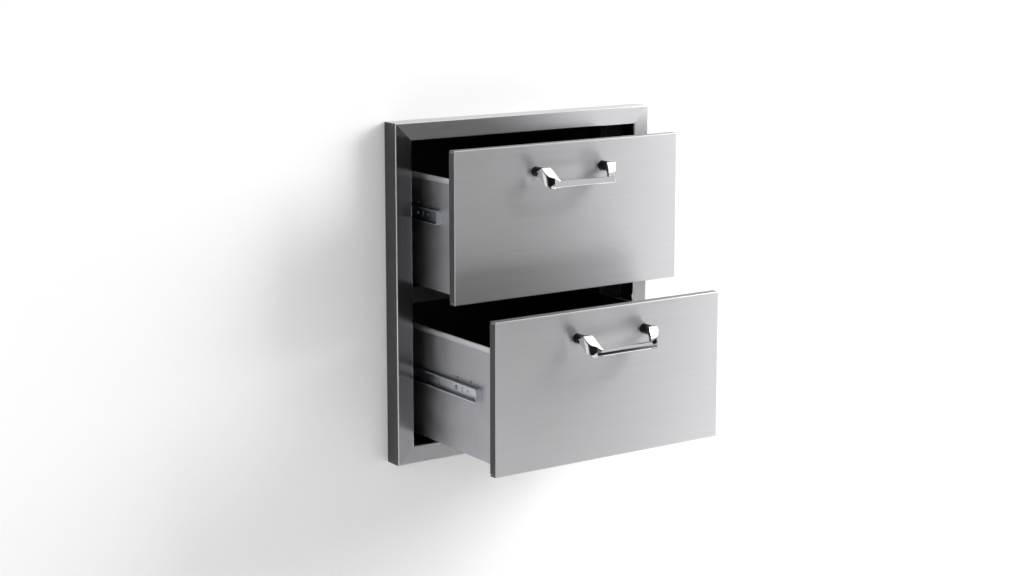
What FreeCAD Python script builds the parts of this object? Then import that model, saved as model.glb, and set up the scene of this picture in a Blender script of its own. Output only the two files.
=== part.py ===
import FreeCAD, Part
import os
import re

import Sketcher

# Outdoor kitchen drawer unit: a raised face frame, a chassis behind it and two drawers on ball slides.
# X runs to the right, Y into the wall and Z up. The origin is the middle of the wall cut-out, on the wall.

doc = FreeCAD.newDocument("outdoor_drawer_unit")

# Driving sizes in millimetres: name, value, what it is
SIZES = (
    ("frame_width", 457.2, "face frame over its outer edges"),
    ("frame_height", 508.0, "face frame over its outer edges"),
    ("frame_depth", 31.0, "how far the face frame stands proud of the wall"),
    ("bezel", 27.0, "visible width of each rail"),
    ("frame_sheet", 1.2, "sheet of the rails"),
    ("frame_edge_radius", 1.6, "bends at the edges of a rail's face"),
    ("seat_lip", 12.0, "lip of a rail that lies on the wall"),
    ("lap", 18.0, "how far the chassis reaches forward behind the rails"),
    ("chassis_depth", 508.0, "from the wall's face to the back of the chassis"),
    ("chassis_sheet", 1.2, "sheet of the chassis"),
    ("chassis_flange", 15.0, "flanges of the chassis panels"),
    ("mid_rail_height", 24.0, "middle cross rail"),
    ("mid_rail_depth", 20.0, "flanges of the middle cross rail"),
    ("mid_rail_setback", 2.0, "air between a shut front and the middle cross rail"),
    ("mid_rail_gap", 1.5, "air between the middle cross rail and the upper box"),
    ("side_screw_radius", 2.75, "holes for the screws into the cabinet"),
    ("side_screw_first", 80.0, "front row of side screws, from the wall's face"),
    ("side_screw_pitch_y", 400.0, "between the rows of side screws"),
    ("side_screw_pitch_z", 360.0, "between the lines of side screws"),
    ("rivet_radius", 1.6, "blind rivets"),
    ("rivet_clearance", 0.1, "between a rivet and its hole"),
    ("rivet_head_radius", 3.2, "blind rivets"),
    ("rivet_head_height", 1.1, "blind rivets"),
    ("rivet_tail_radius", 2.3, "blind rivets"),
    ("rivet_tail_length", 2.5, "blind rivets"),
    ("rivet_margin", 60.0, "top and bottom rivet of the back panel, from its ends"),
    ("post_width", 30.0, "uprights that carry the slides"),
    ("post_depth", 9.6, "uprights, from the chassis side to the slide"),
    ("post_sheet", 1.5, "sheet of the uprights"),
    ("slide_end_gap", 4.0, "from the rear end of a drawer member to the back of its box"),
    ("slide_offset", 3.0, "front end of a drawer member behind the cabinet member's, drawer shut"),
    ("slide_thickness", 12.7, "slide, from the box side to the upright"),
    ("slide_web", 1.2, "webs of the slide members"),
    ("slide_flange", 1.5, "flanges of the slide members"),
    ("drawer_member_height", 20.6, "drawer member of a slide"),
    ("drawer_member_depth", 9.0, "drawer member, across"),
    ("cabinet_member_depth", 9.6, "cabinet member, across"),
    ("member_corner", 3.0, "cut corners at the front end of a drawer member"),
    ("tab_setback", 0.4, "bent tab that closes the front end of a drawer member"),
    ("tab_height", 17.2, "bent tab of a drawer member"),
    ("small_hole_place", 34.0, "small hole of a drawer member, from its front end"),
    ("small_hole_radius", 1.6, "small hole of a drawer member"),
    ("slot_place", 48.5, "upright slot of a drawer member, from its front end"),
    ("slot_width", 2.0, "upright slot of a drawer member"),
    ("slot_height", 8.0, "upright slot of a drawer member"),
    ("ball_radius", 2.38, "balls of the slides"),
    ("ball_clearance", 0.05, "between a ball and its grooves"),
    ("groove_depth", 0.6, "ball grooves in the flanges"),
    ("cage_length", 115.0, "ball retainer"),
    ("cage_web", 0.6, "web of the ball retainer"),
    ("cage_strip", 0.8, "strips of the ball retainer that hold the balls"),
    ("cage_back_gap", 1.5, "from the cabinet member's web to the retainer's web"),
    ("cage_ball_gap", 0.12, "between a ball and its hole in the retainer"),
    ("cage_ball_count", 5, "balls in each strip"),
    ("ball_pitch", 24.0, "between the balls"),
    ("slide_screw_radius", 1.75, "screws of the slides"),
    ("slide_screw_clearance", 0.1, "between the slide screws and their holes"),
    ("slide_screw_head_radius", 3.6, "screws of the slides"),
    ("cabinet_screw_head", 1.2, "low heads inside the cabinet members"),
    ("cabinet_screw_length", 6.0, "screws of the cabinet members"),
    ("drawer_screw_head", 2.2, "heads inside the drawer members"),
    ("drawer_screw_length", 4.0, "screws of the drawer members"),
    ("drawer_screw_first", 64.0, "first screw of a drawer member, from its front end"),
    ("drawer_screw_pitch", 165.0, "between the screws of a drawer member"),
    ("front_thickness", 14.0, "drawer fronts"),
    ("front_sheet", 1.2, "sheet of the drawer fronts"),
    ("front_edge_radius", 1.2, "bends round the face of a drawer front"),
    ("front_side_gap", 3.0, "between a front and a side rail"),
    ("front_top_gap", 3.5, "between the upper front and the top rail"),
    ("front_middle_gap", 5.5, "between the two fronts"),
    ("front_bottom_gap", 2.5, "between the lower front and the bottom rail"),
    ("front_notch", 2.2, "open corner of a folded front"),
    ("liner_gap", 0.3, "between the liner and the skin"),
    ("liner_depth", 9.0, "flanges of the liner"),
    ("box_back_gap", 19.8, "air between a shut drawer and the back panel"),
    ("box_sheet", 1.0, "sheet of the drawer boxes"),
    ("box_base", 8.0, "bottom of a box, from the bottom edge of its front"),
    ("box_height", 167.5, "sides of the boxes"),
    ("box_flange", 13.0, "flanges of the boxes"),
    ("box_fit", 0.2, "between the box sides and what lies between them"),
    ("hem_height", 7.5, "hem along the top of a box side"),
    ("hem_slot", 0.3, "slot inside the hem"),
    ("box_screw_radius", 1.75, "screws of a box"),
    ("box_screw_clearance", 0.1, "between the screws of a box and their holes"),
    ("box_screw_head_radius", 3.6, "screws of a box"),
    ("box_screw_head", 2.2, "screws of a box"),
    ("box_screw_length", 6.0, "screws of a box"),
    ("box_screw_margin", 26.0, "screws and rivets of a box, from its lower and upper edge"),
    ("side_hole_radius", 1.6, "two open holes above a slide"),
    ("side_hole_rise", 5.0, "two open holes, from the top of the slide"),
    ("side_hole_first", 77.0, "two open holes, from the back of the front"),
    ("side_hole_pitch", 35.0, "between the two open holes"),
    ("upper_slide_height", 117.0, "middle of the slide, from the bottom edge of the front"),
    ("lower_slide_height", 102.0, "middle of the slide, from the bottom edge of the front"),
    ("slide_setback", 50.0, "front end of a drawer member, from the back of the front"),
    ("upper_open", 110.0, "how far the upper drawer stands open"),
    ("lower_open", 214.0, "how far the lower drawer stands open"),
    ("handle_drop", 32.0, "top of the handle, from the top edge of the front"),
    ("handle_post_spacing", 119.0, "between the posts"),
    ("handle_post_radius", 6.2, "posts of the handle"),
    ("handle_root", 15.0, "from the front's face to where an arm takes over from its post"),
    ("handle_knee", 25.0, "from the front's face to the top edge of an arm"),
    ("handle_reach", 40.5, "from the front's face to the face of the bar"),
    ("handle_arm_width", 15.5, "arm at its top edge"),
    ("handle_arm_depth", 12.5, "arm at its root, from its top down"),
    ("handle_cheek", 7.5, "outer ridge of an arm at its knee, from its top down"),
    ("handle_heel", 22.5, "outer lower edge of an arm at its knee, from its top down"),
    ("handle_throat", 14.5, "inner lower edge of an arm at its knee, from its top down"),
    ("handle_lean", 4.5, "how far the lower edges of an arm lean in at its knee"),
    ("handle_ridge", 3.5, "outer ridge of an arm half way to the bar, from the bar's lower edge"),
    ("handle_fall", 19.2, "top of the bar, from the top of the handle"),
    ("handle_bar_length", 107.0, "bar over its ends"),
    ("handle_bar_height", 10.5, "bar"),
    ("handle_bar_depth", 8.5, "bar"),
    ("handle_bar_radius", 2.2, "rounded edges of the bar"),
    ("handle_tip_width", 10.0, "arm where it meets the bar"),
    ("handle_chamfer", 0.8, "small steps where an arm meets its post and the bar"),
    ("handle_screw_radius", 1.85, "screws of the handle"),
    ("handle_screw_clearance", 0.1, "between the handle screws and their holes"),
    ("handle_screw_head_radius", 4.0, "screws of the handle"),
    ("handle_screw_head", 2.4, "screws of the handle"),
    ("handle_screw_grip", 9.0, "how deep the screws go into the posts"),
)

# Sizes worked out from the driving ones: name, expression
LAYOUT = (
    ("opening_half_width", "frame_width / 2 - bezel"),
    ("opening_half_height", "frame_height / 2 - bezel"),
    ("chassis_half_width", "opening_half_width + frame_sheet"),
    ("chassis_half_height", "opening_half_height + frame_sheet"),
    ("chassis_outside", "chassis_half_width + chassis_sheet"),
    ("rivet_hole", "rivet_radius + rivet_clearance"),
    ("front_width", "2 * (opening_half_width - front_side_gap)"),
    ("front_gaps", "front_top_gap + front_middle_gap + front_bottom_gap"),
    ("front_height", "(2 * opening_half_height - front_gaps) / 2"),
    ("upper_base", "opening_half_height - front_top_gap - front_height"),
    ("lower_base", "-opening_half_height + front_bottom_gap"),
    ("shut", "front_thickness - frame_depth"),
    ("post_face", "chassis_half_width - post_depth"),
    ("box_depth", "chassis_depth - chassis_sheet - box_back_gap - shut"),
    ("slide_length", "box_depth - slide_setback - slide_end_gap"),
    ("slide_start", "shut + slide_setback - slide_offset"),
    ("front_post", "slide_start + post_width"),
    ("rear_post", "slide_start + slide_length - post_width"),
    ("box_half_width", "post_face - slide_thickness"),
    ("box_inside", "box_half_width - box_sheet"),
    ("box_top", "box_base + box_height"),
    ("box_screw_low", "box_base + box_screw_margin"),
    ("box_screw_high", "box_top - box_screw_margin"),
    ("box_screw_across", "box_half_width - box_flange / 2 - box_sheet"),
    ("box_screw_hole", "box_screw_radius + box_screw_clearance"),
    ("mid_rail_top", "upper_base + box_base - mid_rail_gap"),
    ("mid_rail_front", "shut + mid_rail_setback"),
    ("ball_across", "slide_thickness / 2"),
    ("ball_up", "drawer_member_height / 2 - groove_depth + ball_clearance + ball_radius"),
    ("groove_radius", "ball_radius + ball_clearance"),
    ("cabinet_member_inside", "ball_up + groove_radius - groove_depth"),
    ("cabinet_member_half", "cabinet_member_inside + slide_flange"),
    ("slide_screw_hole", "slide_screw_radius + slide_screw_clearance"),
    ("cage_start", "slide_start + (slide_length - cage_length) / 2"),
    ("cage_back", "slide_thickness - slide_web - cage_back_gap"),
    ("cage_inside", "ball_up - cage_strip / 2"),
    ("cage_half", "ball_up + cage_strip / 2"),
    ("cage_hole", "ball_radius + cage_ball_gap"),
    ("cage_lip", "ball_across - cage_hole - cage_strip"),
    ("cage_margin", "(cage_length - (cage_ball_count - 1) * ball_pitch) / 2"),
    ("post_across", "handle_post_spacing / 2"),
    ("handle_top", "front_height - handle_drop"),
    ("handle_middle", "(handle_knee + handle_reach) / 2"),
    ("post_level", "handle_top - handle_post_radius"),
    ("bar_top", "handle_top - handle_fall"),
    ("bar_base", "bar_top - handle_bar_height"),
    ("bar_half", "handle_bar_length / 2"),
    ("handle_screw_hole", "handle_screw_radius + handle_screw_clearance"),
    ("handle_screw_end", "front_thickness + handle_screw_grip"),
)

SIDES = (("left", -1), ("right", 1))
HOLDERS = {name: "Sizes" for name, _, _ in SIZES} | {name: "Layout" for name, _ in LAYOUT}
PLANES = {"X": ("YZ_Plane", 1), "Y": ("XZ_Plane", -1), "Z": ("XY_Plane", 1)}
AXES = {"X": FreeCAD.Vector(1, 0, 0), "Y": FreeCAD.Vector(0, 1, 0), "Z": FreeCAD.Vector(0, 0, 1)}
FLIP = 180
parts = []


def bound(text):
    """Write a size expression with the object that holds each of its names."""
    return re.sub(r"[a-z_]+[a-z0-9_]*", lambda word: f"{HOLDERS[word[0]]}.{word[0]}", text)


def value(text):
    """Work a size expression out as a number."""
    return float(sheet.evalExpression(bound(text)))


def new_body(label):
    """Start a sub-part."""
    body = doc.addObject("PartDesign::Body", label)
    body.Label = label
    parts.append(body)
    return body


def place(piece, across="0", along="0", up="0", turn=0):
    """Set a sub-part down, turned about Y, at a place bound to the sizes."""
    piece.Placement = FreeCAD.Placement(FreeCAD.Vector(), FreeCAD.Rotation(AXES["Y"], turn))
    for axis, text in (("x", across), ("y", along), ("z", up)):
        piece.setExpression(f"Placement.Base.{axis}", bound(text))


def pin(made, kind, geometry, point, text):
    """Bind one coordinate of a sketch point to a size expression."""
    which = made.addConstraint(Sketcher.Constraint(kind, -1, 1, geometry, point, value(text)))
    made.setExpression(f"Constraints[{which}]", bound(text))


def draw_outline(made, corners):
    """Draw a closed outline with straight sides."""
    places = [FreeCAD.Vector(value(across), value(up), 0) for across, up in corners]
    first = made.GeometryCount
    for start, end in zip(places, places[1:] + places[:1]):
        made.addGeometry(Part.LineSegment(start, end))
    for index, (across, up) in enumerate(corners):
        following = first + (index + 1) % len(corners)
        made.addConstraint(Sketcher.Constraint("Coincident", first + index, 2, following, 1))
        pin(made, "DistanceX", first + index, 1, across)
        pin(made, "DistanceY", first + index, 1, up)


def draw_circle(made, across, up, radius):
    """Draw a circle."""
    centre = FreeCAD.Vector(value(across), value(up), 0)
    which = made.addGeometry(Part.Circle(centre, AXES["Z"], value(radius)))
    pin(made, "DistanceX", which, 3, across)
    pin(made, "DistanceY", which, 3, up)
    size = made.addConstraint(Sketcher.Constraint("Radius", which, value(radius)))
    made.setExpression(f"Constraints[{size}]", bound(radius))


def draw(body, axis, start, forms):
    """Sketch outlines and circles on a plane square to an axis, at a place along it."""
    role, sense = PLANES[axis]
    plane = next(origin for origin in body.Origin.OriginFeatures if origin.Role == role)
    made = body.newObject("Sketcher::SketchObject", "Sketch")
    made.AttachmentSupport = [(plane, "")]
    made.MapMode = "FlatFace"
    made.setExpression("AttachmentOffset.Base.z", f"{sense} * ({bound(start)})")
    for form in forms:
        if isinstance(form[0], tuple):
            draw_outline(made, form)
        else:
            draw_circle(made, *form)
    return made


def add(body, axis, start, length, *forms):
    """Pad outlines from a place along an axis, towards its higher end."""
    pad = body.newObject("PartDesign::Pad", "Pad")
    pad.Profile = draw(body, axis, start, forms)
    pad.Reversed = PLANES[axis][1] < 0
    pad.setExpression("Length", bound(length))


def cut(body, axis, start, length, *forms):
    """Cut outlines away from a place along an axis, towards its higher end."""
    pocket = body.newObject("PartDesign::Pocket", "Pocket")
    pocket.Profile = draw(body, axis, start, forms)
    pocket.Reversed = PLANES[axis][1] > 0
    pocket.setExpression("Length", bound(length))
    return pocket


def repeat(body, feature, axis, pitch, count):
    """Repeat a cut along an axis of the body."""
    line = next(origin for origin in body.Origin.OriginFeatures if origin.Role == f"{axis}_Axis")
    pattern = body.newObject("PartDesign::LinearPattern", "LinearPattern")
    pattern.Originals = [feature]
    pattern.Direction = (line, [""])
    pattern.setExpression("Length", bound(f"{pitch} * ({count} - 1)"))
    pattern.setExpression("Occurrences", bound(count))
    body.Tip = pattern


def soften(body, radius, *lines):
    """Round the edges of a body that lie on the given lines, each a dict of axis to place."""
    doc.recompute()
    base = body.Tip
    near = 0.01
    wanted = [{axis: value(text) for axis, text in line.items()} for line in lines]

    def lies_on(edge, line):
        ends = [end.Point for end in edge.Vertexes]
        return all(abs(getattr(end, axis) - at) < near for end in ends for axis, at in line.items())

    names = [
        f"Edge{number}"
        for number, edge in enumerate(base.Shape.Edges, 1)
        if any(lies_on(edge, line) for line in wanted)
    ]
    fillet = body.newObject("PartDesign::Fillet", "Fillet")
    fillet.Base = (base, names)
    fillet.setExpression("Radius", bound(radius))


def box(low_across, high_across, low_up, high_up):
    """Give the corners of a rectangle."""
    return (
        (low_across, low_up),
        (high_across, low_up),
        (high_across, high_up),
        (low_across, high_up),
    )


def outward(sign, near, thickness):
    """Give where a sheet starts along X when its inner face lies at near, on either side."""
    return near if sign > 0 else f"-({near}) - {thickness}"


def group(label, solids, along="0", up="0"):
    """Make a node of separate solids, such as a set of screws."""
    piece = doc.addObject("Part::Feature", label)
    piece.Label = label
    piece.Shape = Part.makeCompound(solids)
    place(piece, "0", along, up)
    parts.append(piece)


def headed(radius, length, head_radius, head_height, seat, direction):
    """Make a screw or rivet with a domed head, whose seat lies at a point and whose shank runs on."""
    dome = 0.72
    tip = FreeCAD.Vector(-head_height, 0, 0)
    shoulder = FreeCAD.Vector(-head_height * dome, head_radius * dome, 0)
    rim = FreeCAD.Vector(0, head_radius, 0)
    neck = FreeCAD.Vector(0, radius, 0)
    end = FreeCAD.Vector(length, radius, 0)
    last = FreeCAD.Vector(length, 0, 0)
    edges = [Part.Arc(tip, shoulder, rim).toShape()]
    points = (rim, neck, end, last, tip)
    edges += [Part.LineSegment(start, stop).toShape() for start, stop in zip(points, points[1:])]
    solid = Part.Face(Part.Wire(edges)).revolve(FreeCAD.Vector(), AXES["X"], 2 * FLIP)
    solid.Placement = FreeCAD.Placement(seat, FreeCAD.Rotation(AXES["X"], direction))
    return solid


def rivet(grip, seat, direction):
    """Make a blind rivet that holds sheets of a total thickness."""
    radius = value("rivet_radius")
    length = grip + value("rivet_tail_length")
    solid = headed(radius, length, value("rivet_head_radius"), value("rivet_head_height"), seat, direction)
    tail = Part.makeCylinder(
        value("rivet_tail_radius"), value("rivet_tail_length"), seat + direction * grip, direction
    )
    return solid.fuse(tail).removeSplitter().Solids[0]


def rail(label, length, turn, across, up):
    """Formed rail of the face frame: face, two returns and the lip on the wall, mitred at its ends."""
    body = new_body(label)
    section = (
        ("-frame_depth", "0"),
        ("0", "0"),
        ("0", "-seat_lip"),
        ("-frame_sheet", "-seat_lip"),
        ("-frame_sheet", "-frame_sheet"),
        ("frame_sheet - frame_depth", "-frame_sheet"),
        ("frame_sheet - frame_depth", "frame_sheet - bezel"),
        ("0", "frame_sheet - bezel"),
        ("0", "-bezel"),
        ("-frame_depth", "-bezel"),
    )
    add(body, "X", f"-{length} / 2", length, section)
    for sign in (-1, 1):
        beyond = (f"{sign} * ({length} / 2 + bezel)", "bezel")
        inside = (f"{sign} * ({length} / 2 - 2 * bezel)", "-2 * bezel")
        below = (f"{sign} * ({length} / 2 + bezel)", "-2 * bezel")
        cut(body, "Y", "-2 * frame_depth", "3 * frame_depth", (beyond, inside, below))
    soften(
        body,
        "frame_edge_radius",
        {"y": "-frame_depth", "z": "0"},
        {"y": "-frame_depth", "z": "-bezel"},
    )
    place(body, across, "0", up, turn)


def face_frame():
    """Four mitred rails round the opening."""
    rail("frame_top_rail", "frame_width", 0, "0", "frame_height / 2")
    rail("frame_bottom_rail", "frame_width", FLIP, "0", "-frame_height / 2")
    rail("frame_left_rail", "frame_height", -FLIP / 2, "-frame_width / 2", "0")
    rail("frame_right_rail", "frame_height", FLIP / 2, "frame_width / 2", "0")


def middle_rail():
    """Cross rail between the drawers, a channel open at the back."""
    body = new_body("middle_rail")
    back = "mid_rail_front + mid_rail_depth"
    section = (
        ("mid_rail_front", "mid_rail_top"),
        (back, "mid_rail_top"),
        (back, "mid_rail_top - chassis_sheet"),
        ("mid_rail_front + chassis_sheet", "mid_rail_top - chassis_sheet"),
        ("mid_rail_front + chassis_sheet", "mid_rail_top - mid_rail_height + chassis_sheet"),
        (back, "mid_rail_top - mid_rail_height + chassis_sheet"),
        (back, "mid_rail_top - mid_rail_height"),
        ("mid_rail_front", "mid_rail_top - mid_rail_height"),
    )
    add(body, "X", "-opening_half_width", "2 * opening_half_width", section)
    soften(
        body,
        "chassis_sheet",
        {"y": "mid_rail_front", "z": "mid_rail_top"},
        {"y": "mid_rail_front", "z": "mid_rail_top - mid_rail_height"},
    )


def panel_rivets():
    """Places along Y of the rivets through the top and bottom panels, two of them inside the uprights."""
    return ("front_post", "(front_post + rear_post) / 2", "rear_post")


def back_rivets():
    """Places along Z of the rivets through the back panel."""
    return ("rivet_margin - chassis_half_height", "0", "chassis_half_height - rivet_margin")


def flange_level():
    """Height of the rivets through the flanges of the top panel."""
    return "chassis_half_height - chassis_flange / 2"


def chassis_side(side, sign):
    """Side panel with the holes for its rivets and for the screws into the cabinet."""
    body = new_body(f"chassis_{side}_side")
    start = outward(sign, "chassis_half_width", "chassis_sheet")
    reach = box("-lap", "chassis_depth", "-chassis_half_height", "chassis_half_height")
    add(body, "X", start, "chassis_sheet", reach)
    holes = []
    for row in ("side_screw_first", "side_screw_first + side_screw_pitch_y"):
        for line in (-1, 1):
            holes.append((row, f"{line} * side_screw_pitch_z / 2", "side_screw_radius"))
    for along in panel_rivets():
        for line in (-1, 1):
            holes.append((along, f"{line} * ({flange_level()})", "rivet_hole"))
    for up in back_rivets():
        holes.append(("chassis_depth - chassis_flange / 2", up, "rivet_hole"))
    cut(body, "X", start, "chassis_sheet", *holes)


def chassis_cap(label, turn):
    """Top or bottom panel, with a flange down the outside of each side panel."""
    body = new_body(label)
    outside = "(chassis_outside + chassis_sheet)"
    top = "(chassis_half_height + chassis_sheet)"
    hem = f"{top} - chassis_flange"
    section = (
        (f"-{outside}", top),
        (f"-{outside}", hem),
        ("-chassis_outside", hem),
        ("-chassis_outside", "chassis_half_height"),
        ("chassis_outside", "chassis_half_height"),
        ("chassis_outside", hem),
        (outside, hem),
        (outside, top),
    )
    add(body, "Y", "-lap", "chassis_depth + lap", section)
    holes = [(along, flange_level(), "rivet_hole") for along in panel_rivets()]
    cut(body, "X", f"-{outside}", f"2 * {outside}", *holes)
    place(body, turn=turn)


def chassis_back():
    """Back panel between the sides, with a flange forward along each."""
    body = new_body("chassis_back")
    front = "chassis_depth - chassis_flange"
    inside = "(chassis_half_width - chassis_sheet)"
    section = (
        ("-chassis_half_width", "chassis_depth"),
        ("-chassis_half_width", front),
        (f"-{inside}", front),
        (f"-{inside}", "chassis_depth - chassis_sheet"),
        (inside, "chassis_depth - chassis_sheet"),
        (inside, front),
        ("chassis_half_width", front),
        ("chassis_half_width", "chassis_depth"),
    )
    add(body, "Z", "-chassis_half_height", "2 * chassis_half_height", section)
    holes = [("chassis_depth - chassis_flange / 2", up, "rivet_hole") for up in back_rivets()]
    cut(body, "X", "-chassis_half_width", "2 * chassis_half_width", *holes)


def chassis_rivets():
    """Blind rivets that hold the chassis panels together."""
    rivets = []
    grip = 2 * value("chassis_sheet")
    for _, sign in SIDES:
        inward = AXES["X"] * -sign
        for along in panel_rivets():
            for line in (-1, 1):
                across = sign * value("chassis_outside + chassis_sheet")
                seat = FreeCAD.Vector(across, value(along), line * value(flange_level()))
                rivets.append(rivet(grip, seat, inward))
        for up in back_rivets():
            across = sign * value("chassis_outside")
            seat = FreeCAD.Vector(across, value("chassis_depth - chassis_flange / 2"), value(up))
            rivets.append(rivet(grip, seat, inward))
    group("chassis_rivets", rivets)


def slide_post(side, sign, end):
    """Upright channel that carries the slides of both drawers, open towards the chassis side."""
    body = new_body(f"{end}_{side}_post")
    face = f"{sign} * post_face"
    inside = f"{sign} * (post_face + post_sheet)"
    foot = f"{sign} * chassis_half_width"
    low = f"({end}_post - post_width / 2)"
    high = f"({end}_post + post_width / 2)"
    section = (
        (face, low),
        (foot, low),
        (foot, f"{low} + post_sheet"),
        (inside, f"{low} + post_sheet"),
        (inside, f"{high} - post_sheet"),
        (foot, f"{high} - post_sheet"),
        (foot, high),
        (face, high),
    )
    add(body, "Z", "-chassis_half_height", "2 * chassis_half_height", section)
    start = outward(sign, "post_face", "post_sheet")
    holes = [(f"{end}_post", slide_level(name), "slide_screw_hole") for name in ("upper", "lower")]
    cut(body, "X", start, "post_sheet", *holes)


def slide_level(name):
    """Height of the middle of a drawer's slides."""
    return f"({name}_base + {name}_slide_height)"


def grooves():
    """Give the two ball grooves that run along a slide."""
    return (("ball_across", "ball_up", "groove_radius"), ("ball_across", "-ball_up", "groove_radius"))


def set_slide(body, sign, along, name):
    """Set a slide member against its box side or upright; X of the member points away from the box."""
    turn = 0 if sign > 0 else FLIP
    place(body, f"{sign} * box_half_width", along, slide_level(name), turn)


def cabinet_member(name, side, sign):
    """Fixed member of a slide, a channel open towards the drawer, with ball grooves in its flanges."""
    body = new_body(f"{name}_{side}_cabinet_member")
    web = "slide_thickness - slide_web"
    lip = "slide_thickness - cabinet_member_depth"
    section = (
        ("slide_thickness", "-cabinet_member_half"),
        (lip, "-cabinet_member_half"),
        (lip, "-cabinet_member_inside"),
        (web, "-cabinet_member_inside"),
        (web, "cabinet_member_inside"),
        (lip, "cabinet_member_inside"),
        (lip, "cabinet_member_half"),
        ("slide_thickness", "cabinet_member_half"),
    )
    add(body, "Y", "0", "slide_length", section)
    cut(body, "Y", "0", "slide_length", *grooves())
    places = ("front_post - slide_start", "rear_post - slide_start")
    cut(body, "X", web, "slide_web", *[(along, "0", "slide_screw_hole") for along in places])
    set_slide(body, sign, "slide_start", name)


def drawer_member(name, side, sign):
    """Moving member of a slide, with its bent tab, slot and holes near the front end."""
    body = new_body(f"{name}_{side}_drawer_member")
    half = "drawer_member_height / 2"
    inside = f"({half} - slide_flange)"
    section = (
        ("0", f"-{half}"),
        ("drawer_member_depth", f"-{half}"),
        ("drawer_member_depth", f"-{inside}"),
        ("slide_web", f"-{inside}"),
        ("slide_web", inside),
        ("drawer_member_depth", inside),
        ("drawer_member_depth", half),
        ("0", half),
    )
    add(body, "Y", "0", "slide_length", section)
    tab = box("slide_web / 2", "drawer_member_depth - slide_web / 2", "-tab_height / 2", "tab_height / 2")
    add(body, "Y", "tab_setback", "slide_web", tab)
    cut(body, "Y", "0", "slide_length", *grooves())
    corners = []
    for line in (-1, 1):
        corners.append((
            ("0", f"{line} * {half}"),
            ("member_corner", f"{line} * {half}"),
            ("0", f"{line} * ({half} - member_corner)"),
        ))
    cut(body, "X", "0", "drawer_member_depth", *corners)
    openings = []
    for step in range(3):
        openings.append((f"drawer_screw_first + {step} * drawer_screw_pitch", "0", "slide_screw_hole"))
    openings.append(("small_hole_place", "0", "small_hole_radius"))
    slot_ends = ("slot_place - slot_width / 2", "slot_place + slot_width / 2")
    openings.append(box(*slot_ends, "-slot_height / 2", "slot_height / 2"))
    cut(body, "X", "0", "slide_web", *openings)
    set_slide(body, sign, f"shut + slide_setback - {name}_open", name)


def cage_place(name):
    """Place along Y of a ball retainer, which moves half as far as its drawer."""
    return f"cage_start - {name}_open / 2"


def ball_retainer(name, side, sign):
    """Thin channel that spaces the balls between the two members of a slide."""
    body = new_body(f"{name}_{side}_retainer")
    section = (
        ("cage_lip", "-cage_half"),
        ("cage_back", "-cage_half"),
        ("cage_back", "cage_half"),
        ("cage_lip", "cage_half"),
        ("cage_lip", "cage_inside"),
        ("cage_back - cage_web", "cage_inside"),
        ("cage_back - cage_web", "-cage_inside"),
        ("cage_lip", "-cage_inside"),
    )
    add(body, "Y", "0", "cage_length", section)
    hole = cut(body, "Z", "-cage_half", "2 * cage_half", ("ball_across", "cage_margin", "cage_hole"))
    repeat(body, hole, "Y", "ball_pitch", "cage_ball_count")
    set_slide(body, sign, cage_place(name), name)


def slide_balls(name, side, sign):
    """Balls of one slide, in two rows."""
    balls = []
    for number in range(int(value("cage_ball_count"))):
        along = value("cage_margin") + number * value("ball_pitch")
        for line in (-1, 1):
            centre = FreeCAD.Vector(
                sign * value("box_half_width + ball_across"), along, line * value("ball_up")
            )
            balls.append(Part.makeSphere(value("ball_radius"), centre))
    group(f"{name}_{side}_balls", balls, cage_place(name), slide_level(name))


def slide_screw(seat, direction, head, length):
    """Make a screw of a slide."""
    return headed(
        value("slide_screw_radius"),
        value(length),
        value("slide_screw_head_radius"),
        value(head),
        seat,
        direction,
    )


def cabinet_screws():
    """Screws that hold the cabinet members to the uprights."""
    screws = []
    for name in ("upper", "lower"):
        for _, sign in SIDES:
            for along in ("front_post", "rear_post"):
                across = sign * value("post_face - slide_web")
                seat = FreeCAD.Vector(across, value(along), value(slide_level(name)))
                size = ("cabinet_screw_head", "cabinet_screw_length")
                screws.append(slide_screw(seat, AXES["X"] * sign, *size))
    group("cabinet_member_screws", screws)


def set_drawer(piece, name):
    """Set a piece of a drawer: Y counts from the back of the front, Z from its bottom edge."""
    place(piece, "0", f"shut - {name}_open", f"{name}_base")


def front_skin(name):
    """Outer skin of a drawer front: a folded pan with open corners."""
    body = new_body(f"{name}_front_skin")
    half = "front_width / 2"
    add(body, "Y", "-front_thickness", "front_thickness", box(f"-{half}", half, "0", "front_height"))
    soften(
        body,
        "front_edge_radius",
        {"y": "-front_thickness", "z": "0"},
        {"y": "-front_thickness", "z": "front_height"},
        {"y": "-front_thickness", "x": f"-{half}"},
        {"y": "-front_thickness", "x": half},
    )
    inside = f"({half} - front_sheet)"
    hollow = box(f"-{inside}", inside, "front_sheet", "front_height - front_sheet")
    cut(body, "Y", "front_sheet - front_thickness", "front_thickness", hollow)
    notches = []
    for sign in (-1, 1):
        across = sorted((f"{sign} * {inside}", f"{sign} * {half}"), key=value)
        notches.append(box(*across, "front_sheet", "front_sheet + front_notch"))
        notches.append(box(*across, "front_height - front_sheet - front_notch", "front_height - front_sheet"))
    cut(body, "Y", "front_edge_radius + front_sheet - front_thickness", "front_thickness", *notches)
    holes = [(f"{sign} * post_across", "post_level", "handle_screw_hole") for sign in (-1, 1)]
    cut(body, "Y", "-front_thickness", "front_sheet", *holes)
    set_drawer(body, name)


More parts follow.
